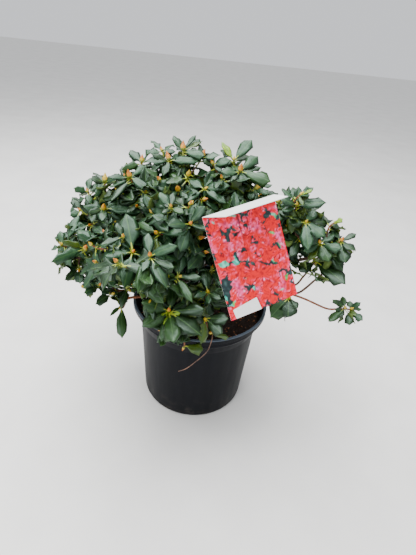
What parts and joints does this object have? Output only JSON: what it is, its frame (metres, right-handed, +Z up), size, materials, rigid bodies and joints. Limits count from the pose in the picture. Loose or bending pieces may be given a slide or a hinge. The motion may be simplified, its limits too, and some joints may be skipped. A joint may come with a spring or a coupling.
{
  "type": "potted rhododendron shrub",
  "caption": "Bushy young rhododendron in a round black nursery pot filled with compost, with a folded picture label hung on one of its shoots.",
  "frame": {"origin": "centre of the pot's flat underside, on the surface that it stands on", "axes": "+Z up along the pot's axis; -Y towards the front, which is the side that the picture shows; +X to the viewer's right"},
  "size_m": [0.667, 0.4978, 0.567],
  "materials": {
    "pot": "smooth, slightly satin",
    "compost": "rough, moist, crumbly",
    "bark": "rough, finely cracked",
    "shoot": "smooth young bark",
    "foliage": "leathery, semi-gloss",
    "card": "glossy print, white flap",
    "sticker": "matt white"
  },
  "bodies": {
    "root": {"pot": "pot", "compost": "compost", "trunk": "bark", "bough_crown_top": "bark", "bough_left_front": "bark", "bough_front": "bark", "bough_right_upper": "bark", "bough_back_middle": "bark", "bough_top_left": "bark", "bough_behind_label": "bark", "bough_middle": "bark", "bough_top_right": "bark", "bough_left_shoulder": "bark", "bough_left_tip": "bark", "bough_left_low": "bark", "bough_left_hanging": "bark", "bough_front_low": "bark", "bough_low_middle": "bark", "bough_right_outer": "bark", "bough_right_stray": "bark", "bough_low_right": "bark", "bough_back_left": "bark", "bough_back_right": "bark", "label_shoot": "shoot", "drooping_twig": "shoot", "label_card": "card", "label_sticker": "sticker", "foliage_crown_top": "foliage", "foliage_left_front": "foliage", "foliage_front": "foliage", "foliage_right_upper": "foliage", "foliage_back_middle": "foliage", "foliage_top_left": "foliage", "foliage_behind_label": "foliage", "foliage_middle": "foliage", "foliage_top_right": "foliage", "foliage_left_shoulder": "foliage", "foliage_left_tip": "foliage", "foliage_left_low": "foliage", "foliage_left_hanging": "foliage", "foliage_front_low": "foliage", "foliage_low_middle": "foliage", "foliage_right_outer": "foliage", "foliage_right_stray": "foliage", "foliage_low_right": "foliage", "foliage_back_left": "foliage", "foliage_back_right": "foliage"}
  },
  "joints": []
}
